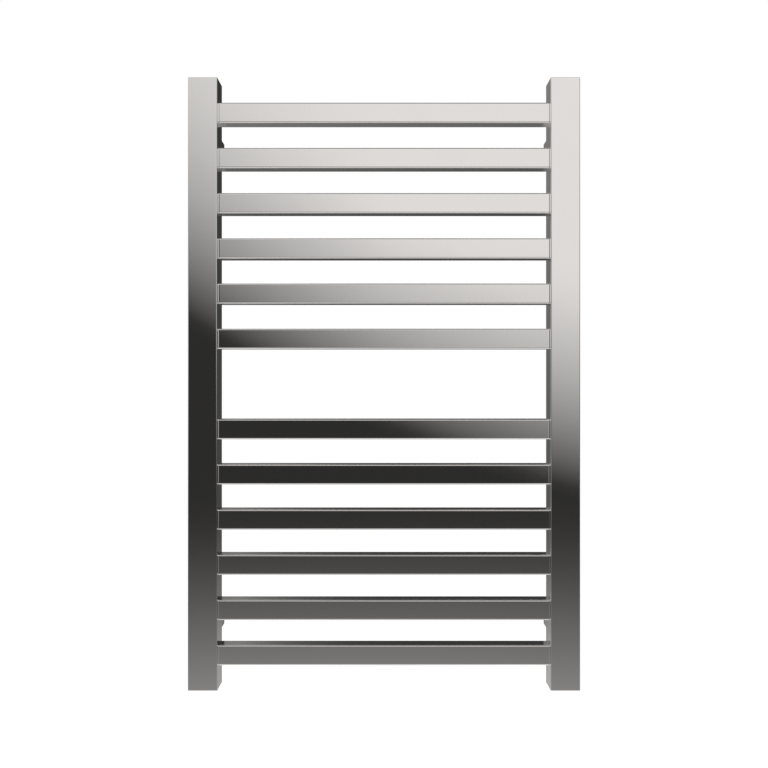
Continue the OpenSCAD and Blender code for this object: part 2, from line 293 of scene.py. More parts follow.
def swapped_for(tree, ray, usual, instead):
    """A shader that gives way to another for one kind of ray."""
    node = tree.nodes.new("ShaderNodeMixShader")
    link(tree, tree.nodes.new("ShaderNodeLightPath").outputs[ray], node.inputs[0])
    link(tree, usual, node.inputs[1])
    link(tree, instead, node.inputs[2])
    return node.outputs[0]


def noise(tree, place, scale, detail, rough):
    """Soft random patches, from 0 to 1."""
    node = tree.nodes.new("ShaderNodeTexNoise")
    link(tree, place, node.inputs["Vector"])
    link(tree, scale, node.inputs["Scale"])
    node.inputs["Detail"].default_value = detail
    node.inputs["Roughness"].default_value = rough
    return node.outputs["Fac"]


def stretched(tree, place, scale):
    """A place with its axes stretched, so that a pattern on it runs in lines."""
    node = tree.nodes.new("ShaderNodeMapping")
    link(tree, place, node.inputs["Vector"])
    node.inputs["Scale"].default_value = scale
    return node.outputs["Vector"]


def bumped(tree, height, depth):
    """The look of a surface that is raised and sunk by up to a depth."""
    node = tree.nodes.new("ShaderNodeBump")
    node.inputs["Strength"].default_value = 1.0
    node.inputs["Distance"].default_value = depth
    link(tree, height, node.inputs["Height"])
    return node.outputs["Normal"]


def new_effect(name, inputs, outputs):
    """An empty node group: its inputs are (name, kind, value) and its outputs are names."""
    tree = bpy.data.node_groups.new(name, "ShaderNodeTree")
    for socket, kind, value in inputs:
        made = tree.interface.new_socket(socket, in_out="INPUT", socket_type=f"NodeSocket{kind}")
        if value is not None:
            made.default_value = value
    for socket in outputs:
        tree.interface.new_socket(socket, in_out="OUTPUT", socket_type="NodeSocketFloat")
    given, result = tree.nodes.new("NodeGroupInput"), tree.nodes.new("NodeGroupOutput")
    return tree, given.outputs, result.inputs


def lay_effect(tree, effect, place, **values):
    """Puts an effect in a material, and gives its outputs."""
    node = tree.nodes.new("ShaderNodeGroup")
    node.node_tree = effect
    link(tree, place, node.inputs["Place"])
    for name, value in values.items():
        node.inputs[name.replace("_", " ")].default_value = value
    return node.outputs


# ---------------------------------------------------------------- finishes

# Where clouds of noise begin to show as smudges or worn patches, and where they show fully
SMUDGE_EDGES, PATCH_EDGES = (0.48, 0.72), (0.4, 0.7)


def make_polish_effect():
    """Polishing lines, and faint cloudy smudges over them."""
    tree, given, result = new_effect(
        "polishing marks",
        [("Place", "Vector", None),
         ("Line Scale", "Float", 900.0),
         ("Smudge Scale", "Float", 16.0)],
        ("Lines", "Smudges"),
    )
    fine = noise(tree, given["Place"], given["Line Scale"], detail=3.0, rough=0.6)
    link(tree, fine, result["Lines"])
    cloud = noise(tree, given["Place"], given["Smudge Scale"], detail=4.0, rough=0.55)
    link(tree, spread(tree, cloud, *SMUDGE_EDGES, smooth=True), result["Smudges"])
    return tree


def make_grain_effect():
    """The fine grain of moulded plastic or rubber, with soft patches of handling and dust."""
    tree, given, result = new_effect(
        "moulded grain",
        [("Place", "Vector", None),
         ("Grain Scale", "Float", 4000.0),
         ("Patch Scale", "Float", 90.0)],
        ("Grain", "Patches"),
    )
    cells = tree.nodes.new("ShaderNodeTexVoronoi")
    link(tree, given["Place"], cells.inputs["Vector"])
    link(tree, given["Grain Scale"], cells.inputs["Scale"])
    fine = noise(tree, given["Place"], given["Grain Scale"], detail=2.0, rough=0.6)
    link(tree, blend_of(tree, 0.5, cells.outputs["Distance"], fine), result["Grain"])
    patch = noise(tree, given["Place"], given["Patch Scale"], detail=3.0, rough=0.6)
    link(tree, spread(tree, patch, *PATCH_EDGES, smooth=True), result["Patches"])
    return tree


POLISH = make_polish_effect()
GRAIN = make_grain_effect()


def new_finish(name, colour, rough, metal=0.0, **more):
    """A material with its shader, and the place on the object that its patterns read."""
    finish = bpy.data.materials.new(name)
    finish.use_nodes = True
    tree = finish.node_tree
    shader = tree.nodes["Principled BSDF"]
    shader.inputs["Base Color"].default_value = (*colour, 1)
    shader.inputs["Roughness"].default_value = rough
    shader.inputs["Metallic"].default_value = metal
    for socket, value in more.items():
        shader.inputs[socket.replace("_", " ")].default_value = value
    place = tree.nodes.new("ShaderNodeTexCoord").outputs["Object"]
    return finish, tree, shader.inputs, place


# How far polishing lines are drawn out, and how much the smudges and lines show
LINE_SQUEEZE, SMUDGE_SCALE, SMUDGE_SHARE, LINE_SHARE = 0.02, 22.0, 0.35, 0.25
# How much rougher a worn patch of plastic is
WORN_ROUGH = 0.1


def metal_finish(name, bright, dull, rough, line_way, line_depth,
                 line_scale=900.0, rough_gain=0.15):
    """Steel, tin or brass, with fine lines from polishing or turning along line_way."""
    finish, tree, shader, place = new_finish(name, bright, rough, metal=1.0)
    squeeze = [LINE_SQUEEZE if axis == line_way else 1.0 for axis in (X, Y, Z)]
    drawn_out = stretched(tree, place, squeeze)
    lines = lay_effect(tree, POLISH, drawn_out, Line_Scale=line_scale)["Lines"]
    smudges = lay_effect(tree, POLISH, place, Smudge_Scale=SMUDGE_SCALE)["Smudges"]
    dulled = calc(tree, "MULTIPLY", smudges, SMUDGE_SHARE)
    link(tree, colour_blend(tree, dulled, bright, dull), shader["Base Color"])
    marked = calc(tree, "MULTIPLY_ADD", lines, LINE_SHARE, smudges)
    link(tree, spread(tree, marked, 0.0, 1 + LINE_SHARE, rough, rough + rough_gain),
         shader["Roughness"])
    link(tree, bumped(tree, lines, line_depth), shader["Normal"])
    return finish


def plastic_finish(name, colour, worn, rough, grain_depth, grain_scale, **more):
    """Moulded plastic, resin or rubber with its grain, a little dulled in patches."""
    finish, tree, shader, place = new_finish(name, colour, rough, **more)
    grain = lay_effect(tree, GRAIN, place, Grain_Scale=grain_scale)
    link(tree, colour_blend(tree, grain["Patches"], colour, worn), shader["Base Color"])
    link(tree, spread(tree, grain["Patches"], 0.0, 1.0, rough, rough + WORN_ROUGH),
         shader["Roughness"])
    link(tree, bumped(tree, grain["Grain"], grain_depth), shader["Normal"])
    return finish


LEAD_GREEN, LEAD_YELLOW = (0.09, 0.28, 0.07), (0.75, 0.6, 0.06)
LEAD_GRAIN_SCALE, LEAD_GRAIN_DEPTH = 2500.0, 0.01 * MM
STRIPE_SCALE, STRIPE_EDGES, SHEATH_ROUGH = 60.0, (0.55, 0.6), (0.42, 0.55)


def earth_sheath():
    """Green insulation with its yellow stripes, wound round the lead."""
    finish, tree, shader, place = new_finish("green and yellow insulation", LEAD_GREEN, 0.45)
    wave = tree.nodes.new("ShaderNodeTexWave")
    link(tree, place, wave.inputs["Vector"])
    wave.bands_direction = "DIAGONAL"
    wave.inputs["Scale"].default_value = STRIPE_SCALE
    stripe = spread(tree, wave.outputs["Fac"], *STRIPE_EDGES, smooth=True)
    grain = lay_effect(tree, GRAIN, place, Grain_Scale=LEAD_GRAIN_SCALE)
    link(tree, colour_blend(tree, stripe, LEAD_GREEN, LEAD_YELLOW), shader["Base Color"])
    link(tree, spread(tree, grain["Patches"], 0.0, 1.0, *SHEATH_ROUGH), shader["Roughness"])
    link(tree, bumped(tree, grain["Grain"], LEAD_GRAIN_DEPTH), shader["Normal"])
    return finish


STEEL = (0.852, 0.826, 0.808)
STEEL_SMUDGED = (0.83, 0.806, 0.79)


def polished_steel(name, line_way):
    """Mirror-polished stainless steel."""
    return metal_finish(name, STEEL, STEEL_SMUDGED, rough=0.03, line_way=line_way,
                        line_depth=0.0006 * MM, line_scale=700.0, rough_gain=0.02)


UPRIGHT_STEEL = polished_steel("polished steel, lines upright", Z)
ACROSS_STEEL = polished_steel("polished steel, lines across", X)
DEEP_STEEL = polished_steel("polished steel, lines front to back", Y)

# For each slot: name, bright colour, dull colour, roughness, way and depth of the lines
METALS = {
    "bracket_steel": ("bracket steel", (0.5, 0.5, 0.5), (0.38, 0.38, 0.39), 0.28, Y, 0.02 * MM),
    "screw_steel": ("screw steel", (0.36, 0.36, 0.37), (0.24, 0.24, 0.25), 0.3, Z, 0.02 * MM),
    "brass": ("brass", (0.78, 0.58, 0.25), (0.6, 0.42, 0.17), 0.22, Y, 0.01 * MM),
    "tinned_can": ("tinned can", (0.72, 0.73, 0.74), (0.55, 0.56, 0.58), 0.25, Z, 0.01 * MM),
}

# For each slot: name, colour, worn colour, roughness, depth and scale of the grain
PLASTICS = {
    "heater_silicone": ("heater silicone", (0.42, 0.06, 0.03), (0.5, 0.12, 0.08),
                        0.5, 0.02 * MM, 1500.0),
    "shrink_sleeve": ("shrink sleeve", (0.012, 0.012, 0.013), (0.03, 0.03, 0.03),
                      0.4, 0.03 * MM, 900.0),
    "seal_resin": ("seal resin", (0.16, 0.04, 0.025), (0.22, 0.08, 0.05),
                   0.55, 0.03 * MM, 1200.0),
    "block_plastic": ("block plastic", (0.76, 0.72, 0.6), (0.7, 0.66, 0.55),
                      0.45, 0.008 * MM, 4000.0),
    "gland_plastic": ("gland plastic", (0.014, 0.014, 0.015), (0.03, 0.03, 0.032),
                      0.38, 0.01 * MM, 4000.0),
    "switch_plastic": ("switch plastic", (0.01, 0.01, 0.011), (0.022, 0.022, 0.024),
                       0.42, 0.01 * MM, 4000.0),
    "rocker_plastic": ("rocker plastic", (0.012, 0.012, 0.013), (0.02, 0.02, 0.021),
                       0.22, 0.004 * MM, 4000.0),
    "lead_brown": ("brown insulation", (0.11, 0.035, 0.015), (0.15, 0.06, 0.03),
                   0.42, LEAD_GRAIN_DEPTH, LEAD_GRAIN_SCALE),
    "lead_blue": ("blue insulation", (0.02, 0.08, 0.35), (0.05, 0.12, 0.38),
                  0.42, LEAD_GRAIN_DEPTH, LEAD_GRAIN_SCALE),
}

FINISHES = {
    "polished_steel": ACROSS_STEEL,
    **{slot: metal_finish(*look) for slot, look in METALS.items()},
    **{slot: plastic_finish(*look) for slot, look in PLASTICS.items()},
    "lens_amber": plastic_finish("amber lens", (0.62, 0.12, 0.01), (0.66, 0.16, 0.02),
                                 0.12, 0.002 * MM, 1200.0, Transmission_Weight=0.35, IOR=1.49),
    "lead_green": earth_sheath(),
}

for part in frame["record"]["subparts"]:
    carried = frame["nodes"][part["node"]]
    if not carried.material_slots:
        carried.data.materials.append(None)
    carried.material_slots[0].material = FINISHES[part["material_slot"]]


def fit(piece, node, body, slot, finish=None):
    """Hangs a finished piece on its body, in place of its plain node."""
    piece.data.materials.clear()
    piece.data.materials.append(finish or FINISHES[slot])
    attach(piece, body)
    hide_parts(node)


# ---------------------------------------------------------------- posts, bars and standoffs

POST_CORNER, POST_WALL = 1.5 * MM, 1.5 * MM
CABLE_HOLE_R, GLAND_HOLE_R = 7 * MM, 6.3 * MM
SWITCH_HOLE_W, SWITCH_HOLE_H = 13.2 * MM, 19.2 * MM
SWITCH = (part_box("switch_housing")[0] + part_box("switch_housing")[1]) / 2
GLAND = (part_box("gland_body")[0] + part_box("gland_body")[1]) / 2


def open_tube(tube, axis, wall):
    """Makes a closed block a tube: takes off its two end faces, and gives the skin its wall."""
    choose(tube, "FACE", lambda face: faces_along(face, axis))
    bpy.ops.mesh.delete(type="ONLY_FACE")
    close()
    wall_inwards(tube, wall)


def square_tube(name, low, high, axis, corner, wall):
    """A box-section tube along an axis, open at both ends."""
    tube = new_block(name, low, high)
    round_along(tube, axis, corner)
    open_tube(tube, axis, wall)
    return tube


def make_post(side):
    """A post, with its cable holes behind the bars, and on the right its switch and gland holes."""
    low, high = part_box(f"{side}_post")
    post = square_tube(f"{side}_post_tube", low, high, Z, POST_CORNER, POST_WALL)
    inner_x = high.x if side == "left" else low.x
    holes = []
    for bar in BAR_NAMES:
        bar_low, bar_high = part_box(bar)
        middle = (bar_low + bar_high) / 2
        holes.append(hole_through((inner_x, middle.y, middle.z), X, CABLE_HOLE_R))
    if side == "right":
        holes.append(block_along_x("hole", high.x - CUT_PAST, high.x + CUT_PAST, SWITCH,
                                   SWITCH_HOLE_W, SWITCH_HOLE_H))
        holes.append(hole_through((GLAND.x, high.y, GLAND.z), Y, GLAND_HOLE_R, ROD_SIDES))
    combine(post, holes)
    polish_flats(post)
    fit(post, f"{side}_post", "rack", "polished_steel", UPRIGHT_STEEL)


BAR_CORNER, BAR_WALL = 2.2 * MM, 1.2 * MM
EASE_LENGTH, EASE_DEPTH, EASE_STEPS = 3.0 * MM, 1.3 * MM, 8
WELD_LAND = 0.9 * MM


def ease_end(bar, way, middle, half_depth):
    """Draws a bar's end out ring by ring: its front and back curve in, then run on to the weld."""
    choose(bar, "FACE", lambda face: faces_along(face, X, way))
    reach, drop = 0, 0
    for step in range(1, EASE_STEPS + 1):
        turn = math.radians(90 * step / EASE_STEPS)
        next_reach, next_drop = EASE_LENGTH * math.sin(turn), EASE_DEPTH * (1 - math.cos(turn))
        push((way * (next_reach - reach), 0, 0))
        shrink = (half_depth - next_drop) / (half_depth - drop)
        bpy.ops.transform.resize(value=(1, shrink, 1), center_override=middle)
        reach, drop = next_reach, next_drop
    push((way * WELD_LAND, 0, 0))
    close()


def make_bars():
    """One bar with eased ends, and its eleven copies."""
    low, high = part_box(BAR_NAMES[0])
    ease = Vector((EASE_LENGTH + WELD_LAND, 0, 0))
    first = new_block(f"{BAR_NAMES[0]}_tube", low + ease, high - ease)
    round_along(first, X, BAR_CORNER)
    for way in (-1, 1):
        ease_end(first, way, (low + high) / 2, (high.y - low.y) / 2)
    open_tube(first, X, BAR_WALL)
    polish_flats(first)
    for bar, node in zip(place_copies(first, BAR_NAMES, "tube"), BAR_NAMES):
        fit(bar, node, "rack", "polished_steel", ACROSS_STEEL)


CAP_T, CAP_EDGE, CAP_RIM_CORNER = 2 * MM, 0.6 * MM, 1.5 * MM
CAP_RIM_GAP, CAP_RIM_WALL = 1.6 * MM, 1.2 * MM


def make_caps():
    """The plates that close the posts, each with a rim inside the tube: one, and its copies."""
    low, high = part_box("cap_top_left")
    seat_z = high.z - CAP_T
    first = new_block("cap_top_left_plate", (low.x, low.y, seat_z), high)
    round_along(first, Z, POST_CORNER)
    choose(first, "EDGE", lambda edge: near(middle_of(edge).z, high.z) and not runs_along(edge, Z))
    round_chosen(CAP_EDGE, steps=4)
    gap = Vector((CAP_RIM_GAP, CAP_RIM_GAP, 0))
    wall = Vector((CAP_RIM_WALL, CAP_RIM_WALL, 0))
    rim_top = Vector((high.x, high.y, seat_z + CAP_T / 2)) - gap
    rim = new_block("rim", low + gap, rim_top)
    round_along(rim, Z, CAP_RIM_CORNER, steps=6)
    hollow = new_block("hollow", low + gap + wall - Vector((0, 0, CUT_PAST)),
                       rim_top - wall - Vector((0, 0, CAP_T / 2)))
    combine(first, [rim], "UNION")
    combine(first, [hollow])
    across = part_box("cap_top_right")[0] - low
    caps = {"cap_top_left": first,
            "cap_top_right": copy_of(first, "cap_top_right_plate", across)}
    for side, opposite in (SIDES, SIDES[::-1]):
        node = f"cap_bottom_{side}"
        caps[node] = copy_of(caps[f"cap_top_{opposite}"], f"{node}_plate", (0, 0, 0))
        turn_about(caps[node], 180, (0, (low.y + high.y) / 2, 0))
    for node, cap in caps.items():
        polish_flats(cap)
        fit(cap, node, "rack", "polished_steel", UPRIGHT_STEEL)


STANDOFF_CORNER, STANDOFF_WALL = 2.4 * MM, 1.5 * MM
SET_SCREW_Y, SET_SCREW_R, SET_SCREW_PLAY = -10 * MM, 2.5 * MM, 0.3 * MM


def make_standoffs():
    """One standoff with its set screw hole, and its three copies."""
    low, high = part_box(STANDOFF_NAMES[0])
    first = square_tube(f"{STANDOFF_NAMES[0]}_tube", low, high, Y, STANDOFF_CORNER, STANDOFF_WALL)
    screw_spot = ((low.x + high.x) / 2, SET_SCREW_Y, low.z)
    combine(first, [hole_through(screw_spot, Z, SET_SCREW_R)])
    polish_flats(first)
    for standoff, node in zip(place_copies(first, STANDOFF_NAMES, "tube"), STANDOFF_NAMES):
        fit(standoff, node, "rack", "polished_steel", DEEP_STEEL)


BRACKET_WALL, BRACKET_PLATE, BRACKET_CORNER, BRACKET_EDGE = 2 * MM, 3 * MM, 0.75 * MM, 0.3 * MM
WALL_HOLE_R = 2.75 * MM


def make_brackets():
    """Cups that are screwed to the wall inside the standoffs: one, and its three copies."""
    low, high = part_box(BRACKET_NAMES[0])
    middle = (low + high) / 2
    first = new_block(f"{BRACKET_NAMES[0]}_cup", low, high)
    round_along(first, Y, BRACKET_CORNER, steps=4)
    choose(first, "EDGE", lambda edge: not runs_along(edge, Y))
    round_chosen(BRACKET_EDGE, steps=2)
    wall = Vector((BRACKET_WALL, 0, BRACKET_WALL))
    hollow = new_block("hollow", low + wall - Vector((0, CUT_PAST, 0)),
                       high - wall - Vector((0, BRACKET_PLATE, 0)))
    plate_spot = (middle.x, high.y - BRACKET_PLATE / 2, middle.z)
    wall_hole = hole_through(plate_spot, Y, WALL_HOLE_R, ROD_SIDES)
    screw_spot = (middle.x, SET_SCREW_Y, low.z)
    side_hole = hole_through(screw_spot, Z, SET_SCREW_R + SET_SCREW_PLAY)
    combine(first, [hollow, wall_hole, side_hole])
    polish_flats(first)
    for bracket, node in zip(place_copies(first, BRACKET_NAMES, "cup"), BRACKET_NAMES):
        fit(bracket, node, "rack", "bracket_steel")


# ---------------------------------------------------------------- switch

POST_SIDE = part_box("right_post")[1].x
PIVOT_DEPTH = 2 * MM
PIVOT = Vector((POST_SIDE - PIVOT_DEPTH, SWITCH.y, SWITCH.z))
PIN_R, PIN_LEN, PIN_PLAY, BORE_LEN = 1.2 * MM, 1.2 * MM, 0.05 * MM, 12.2 * MM
BEZEL_CORNER, BEZEL_RIM, BEZEL_EDGE = 1.2 * MM, 1 * MM, 0.6 * MM
WELL_DEPTH, WELL_W, WELL_H = 6.8 * MM, 9.4 * MM, 17.5 * MM
SLOT_Z, SLOT_DEPTH, SLOT_W, SLOT_H = 6 * MM, 2 * MM, 4.8 * MM, 0.8 * MM


def make_switch_housing():
    """The switch's bezel with its well, and the body behind it in the post."""
    low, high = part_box("switch_housing")
    housing = new_block("switch_bezel", (POST_SIDE, low.y, low.z), high)
    round_along(housing, X, BEZEL_CORNER, steps=6)
    choose(housing, "FACE", lambda face: faces_along(face, X, -1))
    bpy.ops.mesh.inset(thickness=BEZEL_RIM)
    push((low.x - POST_SIDE, 0, 0))
    close()
    choose(housing, "EDGE", lambda edge: near(middle_of(edge).x, high.x))
    round_chosen(BEZEL_EDGE, steps=4)
    well = block_along_x("well", PIVOT.x - WELL_DEPTH, high.x + CUT_PAST, SWITCH, WELL_W, WELL_H)
    bore_start = (PIVOT.x, PIVOT.y - BORE_LEN / 2, PIVOT.z)
    bore = new_rod("hole", bore_start, Y, BORE_LEN, PIN_R + PIN_PLAY, HOLE_SIDES)
    slots = [block_along_x("hole", low.x - CUT_PAST, low.x + SLOT_DEPTH,
                           SWITCH + Vector((0, 0, rise)), SLOT_W, SLOT_H)
             for rise in (-SLOT_Z, SLOT_Z)]
    combine(housing, [well, bore] + slots)
    polish_flats(housing)
    fit(housing, "switch_housing", "rack", "switch_plastic")


# Degrees that the rocker is tipped by when it is off
ROCKER_TILT = 8
ROCKER_R, ROCKER_HALF_W = 8 * MM, 4.5 * MM
# Above the pivot: the rocker's two ends and the valley between them. Below it: its skirt
ROCKER_END, ROCKER_VALLEY, ROCKER_SKIRT = 3.8633 * MM, 2.9 * MM, 3 * MM
VALLEY_ROUND, ROCKER_EDGE, ROCKER_CRISP = 2.5 * MM, 0.3 * MM, math.radians(40)
# Degrees that the valley's sides slope by: they rise 1.1 mm over 8 mm
VALLEY_SLOPE = math.degrees(math.atan(1.1 / 8))
LENS_LOW, LENS_HIGH, LENS_W, LENS_T = 2.2 * MM, 3.8 * MM, 5 * MM, 0.8 * MM
LENS_PROUD, LENS_EDGE = 0.15 * MM, 0.12 * MM
SEAT_PAST, SEAT_PLAY = 1 * MM, 0.02 * MM


def lens_block(name, proud, play):
    """A block of the lens's size on the rocker's upper slope, before the rocker is tipped."""
    valley = PIVOT + Vector((ROCKER_VALLEY, 0, 0))
    block = new_block(name, valley + Vector((-LENS_T, -LENS_W / 2 - play, LENS_LOW - play)),
                      valley + Vector((proud, LENS_W / 2 + play, LENS_HIGH + play)))
    turn_about(block, VALLEY_SLOPE, valley)
    return block


def make_rocker():
    """The rocker: a drum cut to a shallow valley on top, with its pins and the lens's seat."""
    drum_start = (PIVOT.x, PIVOT.y - ROCKER_HALF_W, PIVOT.z)
    rocker = new_rod("switch_rocker_paddle", drum_start, Y, 2 * ROCKER_HALF_W, ROCKER_R, DRUM_SIDES)
    for height, way in ((ROCKER_END, 1), (-ROCKER_SKIRT, -1)):
        slice_at(rocker, (PIVOT.x + height, PIVOT.y, PIVOT.z), (way, 0, 0), trim=True)
    slice_at(rocker, PIVOT, (0, 0, 1))

    def valley_line(height):
        """Picks the edge across the rocker's middle, at a height above the pivot."""
        return lambda edge: (runs_along(edge, Y) and near(middle_of(edge).x, PIVOT.x + height)
                             and near(middle_of(edge).z, PIVOT.z))

    choose(rocker, "EDGE", valley_line(ROCKER_END))
    bpy.ops.transform.translate(value=(ROCKER_VALLEY - ROCKER_END, 0, 0))
    close()
    choose(rocker, "EDGE", valley_line(ROCKER_VALLEY))
    round_chosen(VALLEY_ROUND)
    choose(rocker, "EDGE", lambda edge: edge.calc_face_angle(0) > ROCKER_CRISP)
    round_chosen(ROCKER_EDGE, steps=3)
    pin_reach = ROCKER_HALF_W + PIN_LEN
    pins = new_rod("pins", (PIVOT.x, PIVOT.y - pin_reach, PIVOT.z), Y, 2 * pin_reach, PIN_R,
                   HOLE_SIDES)
    combine(rocker, [pins], "UNION")
    combine(rocker, [lens_block("seat", SEAT_PAST, SEAT_PLAY)])
    turn_about(rocker, ROCKER_TILT, PIVOT)
    polish_flats(rocker)
    fit(rocker, "switch_rocker", "rocker", "rocker_plastic")


def make_lens():
    """The amber lens in the rocker's upper half."""
    lens = lens_block("switch_lens_bar", LENS_PROUD, 0)
    choose(lens, "EDGE", lambda edge: True)
    round_chosen(LENS_EDGE, steps=3)
    turn_about(lens, ROCKER_TILT, PIVOT)
    polish_flats(lens)
    fit(lens, "switch_lens", "rocker", "lens_amber")


# ---------------------------------------------------------------- cable gland

POST_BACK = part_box("right_post")[1].y
# Radius and distance behind the post of each ring, in millimetres
GLAND_RINGS = (
    (3.5, -8.0), (6.3, -8.0), (6.3, 0.0), (8.8, 0.0), (9.0, 0.2), (9.0, 2.6), (8.6, 3.0),
    (7.6, 3.0), (7.5, 3.4), (7.5, 6.0), (7.2, 8.2), (6.6, 10.2), (5.9, 11.4), (5.1, 12.0),
    (4.1, 12.0), (3.5, 11.5),
)
GLAND_SIDES = 48
# Of every four faces round the nut, two are sunk as a grip flat
GRIP_EVERY, GRIP_SUNK = 4, 2
GRIP_LOW, GRIP_HIGH, GRIP_REACH = 3.5 * MM, 6 * MM, 7.2 * MM
GRIP_RIM, GRIP_SHRINK = 0.15 * MM, 0.955


def make_gland():
    """The cable gland: a flange and a domed nut outside, a threaded neck inside."""
    axis_point = Vector((GLAND.x, POST_BACK, GLAND.z))
    radius, along = GLAND_RINGS[0]
    bpy.ops.object.select_all(action="DESELECT")
    bpy.ops.mesh.primitive_circle_add(vertices=GLAND_SIDES, radius=radius * MM,
                                      rotation=(math.radians(90), 0, 0),
                                      location=axis_point + Vector((0, along * MM, 0)))
    gland = bpy.context.object
    gland.name = gland.data.name = "gland_nut"
    settle(gland)
    choose(gland, "EDGE", lambda edge: True)
    for next_radius, next_along in GLAND_RINGS[1:]:
        push((0, (next_along - along) * MM, 0))
        grow = next_radius / radius
        bpy.ops.transform.resize(value=(grow, 1, grow), center_override=axis_point)
        radius, along = next_radius, next_along
    close()
    choose(gland, "EDGE", lambda edge: edge.is_boundary)
    bpy.ops.mesh.bridge_edge_loops()
    bpy.ops.mesh.select_all(action="SELECT")
    bpy.ops.mesh.normals_make_consistent(inside=False)
    close()

    def grip_flat(face):
        """Whether a face is one of the nut's sunk ones."""
        spot = face.calc_center_median() - axis_point
        step = int(math.degrees(math.atan2(spot.z, spot.x)) % 360 / (360 / GLAND_SIDES))
        return (step % GRIP_EVERY < GRIP_SUNK and math.hypot(spot.x, spot.z) > GRIP_REACH
                and GRIP_LOW < spot.y < GRIP_HIGH)

    choose(gland, "FACE", grip_flat)
    bpy.ops.mesh.inset(thickness=GRIP_RIM)
    bpy.ops.transform.resize(value=(GRIP_SHRINK, 1, GRIP_SHRINK), center_override=axis_point)
    close()
    polish_flats(gland)
    fit(gland, "gland_body", "rack", "gland_plastic")


# ---------------------------------------------------------------- the room

# A way into the room is given by its slopes: rise, across (to the right) and back. In each table a
# slope goes with a brightness from 0 to FULL, as the polished steel shows it from that way.
FULL = 255.0
OVERHEAD, UNDERFOOT = 110, 206
# In front, above a dark band that climbs to the left: towards the left and towards the right
STUDIO_LEFT = (
    (-0.02, 43), (0.0, 43), (0.0075, 55), (0.018, 77), (0.029, 90), (0.05, 113), (0.071, 131),
    (0.092, 145), (0.1125, 157), (0.133, 168), (0.154, 176), (0.175, 184), (0.196, 190),
    (0.216, 195), (0.237, 200), (0.258, 204), (0.3, 211), (0.42, 222), (0.6, 220), (0.85, 170),
    (1.2, 128), (3.0, OVERHEAD),
)
STUDIO_RIGHT = (
    (-0.02, 43), (0.0, 43), (0.0075, 58), (0.018, 80), (0.028, 96), (0.049, 120), (0.07, 140),
    (0.09, 156), (0.111, 170), (0.132, 182), (0.153, 192), (0.174, 202), (0.194, 210),
    (0.215, 216), (0.236, 218), (0.3, 219), (0.55, 221), (0.85, 170), (1.2, 128),
    (3.0, OVERHEAD),
)
STUDIO_BELOW = (
    (-3.0, UNDERFOOT), (-0.9, 214), (-0.55, 199), (-0.42, 162), (-0.316, 130), (-0.3077, 126),
    (-0.287, 117), (-0.266, 107), (-0.245, 97), (-0.2245, 86), (-0.2037, 75), (-0.183, 65),
    (-0.162, 55), (-0.1414, 47), (-0.12, 43), (0.0, 43),
)
# Behind: by rise, and by the place across with its share by rise
BEHIND_BASE = (
    (-0.3, 64), (-0.12, 65), (0.3, 50), (0.4, 50), (0.7, 75), (1.3, 100), (3.0, OVERHEAD),
)
BEHIND_SIDE = (
    (-1.0, 88), (-0.6, 92), (-0.4, 96), (-0.25, 76), (-0.17, 65), (-0.15, 72), (-0.13, 57),
    (-0.087, 28), (-0.03, 8), (0.03, 2), (0.17, 0), (0.8, 0), (1.0, 4),
)
BEHIND_SHARE = (
    (-0.3, 0.24), (-0.12, 0.24), (-0.07, 0.31), (0.0, 0.46), (0.07, 0.6), (0.12, 0.68),
    (0.2, 0.86), (0.3, 1.0), (0.5, 1.7), (0.8, 1.5), (1.3, 0.7), (3.0, 0.0),
)
BEHIND_BELOW = (
    (-3.0, UNDERFOOT), (-1.2, 190), (-0.7, 172), (-0.4, 140), (-0.268, 101), (-0.222, 85),
    (-0.177, 73), (-0.12, 62), (-0.05, 20),
)
# At the sides
FLANK_LEFT = (
    (-3.0, UNDERFOOT), (-1.5, 214), (-0.95, 165), (-0.6, 130), (-0.4, 142), (-0.31, 146),
    (-0.25, 116), (-0.2, 108), (-0.14, 116), (-0.1, 137), (-0.05, 158), (0.0, 176), (0.1, 194),
    (0.2, 203), (0.3, 212), (0.5, 228), (0.8, 168), (1.2, 108), (3.0, OVERHEAD),
)
FLANK_RIGHT = (
    (-3.0, UNDERFOOT), (-1.5, 210), (-0.95, 150), (-0.6, 115), (-0.4, 130), (-0.31, 138),
    (-0.22, 102), (-0.14, 62), (-0.08, 58), (0.0, 70), (0.09, 98), (0.2, 128), (0.3, 152),
    (0.5, 204), (0.8, 156), (1.2, 104), (3.0, OVERHEAD),
)
# The dark band's height follows the place across, up to a reach to each side
SIDE_REACH, BAND_BEND, BAND_SLOPE, BAND_HEIGHT = 0.35, 0.49, -0.44, -0.042
# Ranges of a slope over which one part of the room passes into the next
SKY_ACROSS, TURN_BACK = (-0.188, 0.0), (-0.5, 0.5)
FLANK_START, FLANK_SIDES = (0.35, 0.85), (-0.3, 0.3)
# A glow low behind, off to the sides, and a lean of the light there to the left
GLOW_ACROSS, GLOW_RISE, GLOW_LEVEL = (0.1605, 0.1665), (-0.28, -0.12), 46
LEAN_ACROSS, LEAN_LEFT, LEAN_RIGHT = (-0.15, 0.15), 7, -6
# A shade to the right of the back
SHADE_BACK, SHADE_RISE, SHADE_SHARE = (0.3, 0.9), (-0.3, -0.12), 0.55
# The least length of a way's level part, so that nothing is divided by zero overhead
LEAST_LEVEL = 0.01
# The curve that makes a shown brightness a light's strength
SHOWN_LIFT, SHOWN_POWER = 0.055, 2.4


